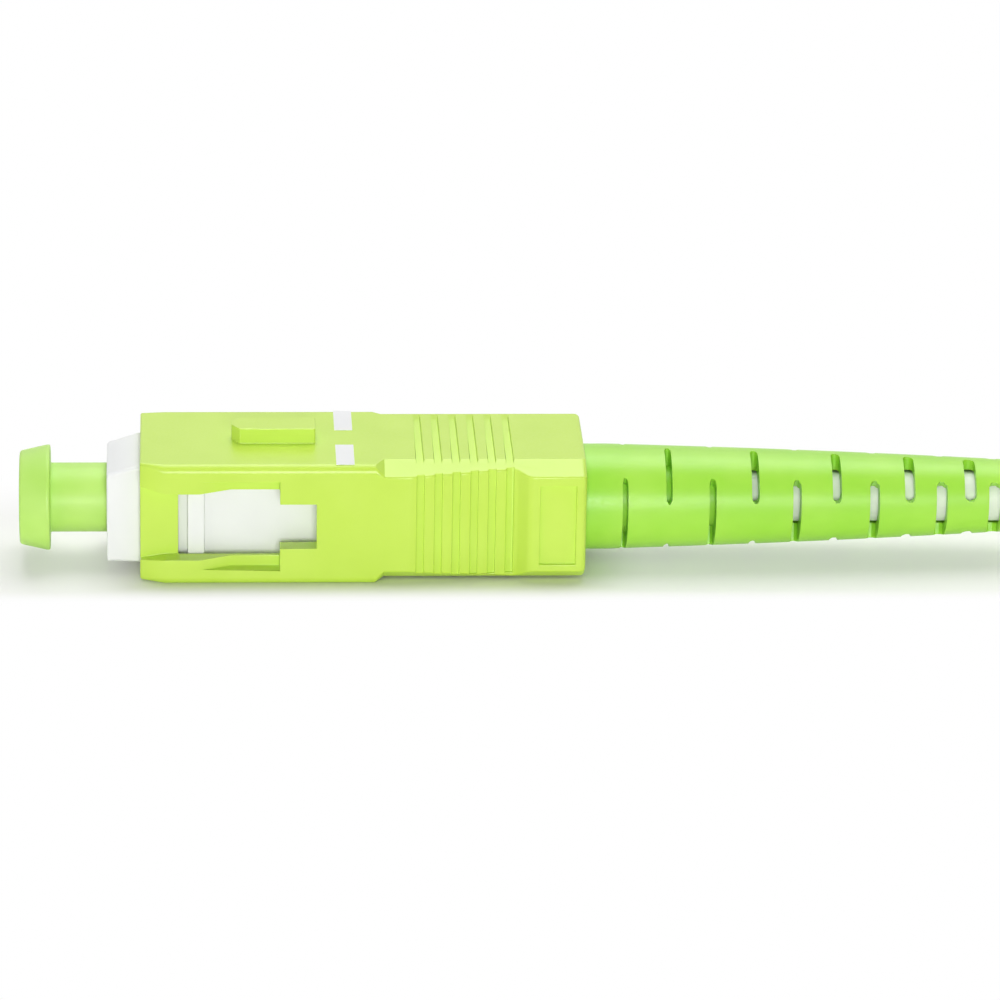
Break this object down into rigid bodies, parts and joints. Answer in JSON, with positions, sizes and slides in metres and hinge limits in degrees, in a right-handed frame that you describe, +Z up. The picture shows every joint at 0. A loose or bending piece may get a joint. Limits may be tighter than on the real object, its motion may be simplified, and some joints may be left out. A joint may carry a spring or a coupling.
{
  "type": "fiber optic patch cord",
  "caption": "Simplex fibre optic patch cord: push-pull square connectors with capped ferrules and slotted boots on a round cable, wound in a neat coil.",
  "frame": {"origin": "bottom centre of the near connector's box: under the middle of its length, from cap to boot, on the surface it lies on", "axes": "+X along the near connector from its dust cap towards the cable, +Y to its far side, +Z up, the key side"},
  "size_m": [0.1692, 0.042, 0.0138],
  "materials": {
    "lime_plastic": "moulded, satin",
    "cap_green": "moulded, slightly translucent",
    "soft_green": "soft moulded, satin",
    "white_plastic": "moulded, satin",
    "ceramic": "polished zirconia ceramic",
    "nickel": "turned brass, nickel plated",
    "aluminium": "drawn, satin",
    "steel": "spring wire",
    "yarn": "aramid yarn, laid straight",
    "buffer": "extruded, smooth",
    "jacket": "extruded, satin"
  },
  "bodies": {
    "cable_and_frames": {"plug_frame": "white_plastic", "spring": "steel", "backbone": "nickel", "aramid_yarn": "yarn", "crimp_sleeve": "aluminium", "strain_relief_boot": "soft_green", "plug_frame_far": "white_plastic", "spring_far": "steel", "backbone_far": "nickel", "aramid_yarn_far": "yarn", "crimp_sleeve_far": "aluminium", "strain_relief_boot_far": "soft_green", "cable_near": "jacket", "cable_coil": "jacket", "cable_far": "jacket"},
    "ferrule_near": {"ferrule": "ceramic", "ferrule_flange": "nickel", "buffered_fibre": "buffer"},
    "ferrule_far": {"ferrule_far": "ceramic", "ferrule_flange_far": "nickel", "buffered_fibre_far": "buffer"},
    "grip_near": {"grip_housing": "lime_plastic"},
    "grip_far": {"grip_housing_far": "lime_plastic"},
    "cap_near": {"dust_cap": "cap_green"},
    "cap_far": {"dust_cap_far": "cap_green"}
  },
  "joints": [
    {"name": "grip_slide_near", "type": "slide", "parent": "cable_and_frames", "child": "grip_near", "axis": [1, 0, 0], "range_m": [-0.001, 0.00045]},
    {"name": "ferrule_float_near", "type": "slide", "parent": "cable_and_frames", "child": "ferrule_near", "axis": [1, 0, 0], "range_m": [0, 0.001], "stiffness_N_per_m": 2500, "deforming": ["spring"]},
    {"name": "cap_pull_near", "type": "slide", "parent": "cable_and_frames", "child": "cap_near", "axis": [-1, 0, 0], "range_m": [0, 0.012]},
    {"name": "grip_slide_far", "type": "slide", "parent": "cable_and_frames", "child": "grip_far", "axis": [-1, 0, 0], "range_m": [-0.001, 0.00045]},
    {"name": "ferrule_float_far", "type": "slide", "parent": "cable_and_frames", "child": "ferrule_far", "axis": [-1, 0, 0], "range_m": [0, 0.001], "stiffness_N_per_m": 2500, "deforming": ["spring_far"]},
    {"name": "cap_pull_far", "type": "slide", "parent": "cable_and_frames", "child": "cap_far", "axis": [1, 0, 0], "range_m": [0, 0.012]}
  ]
}
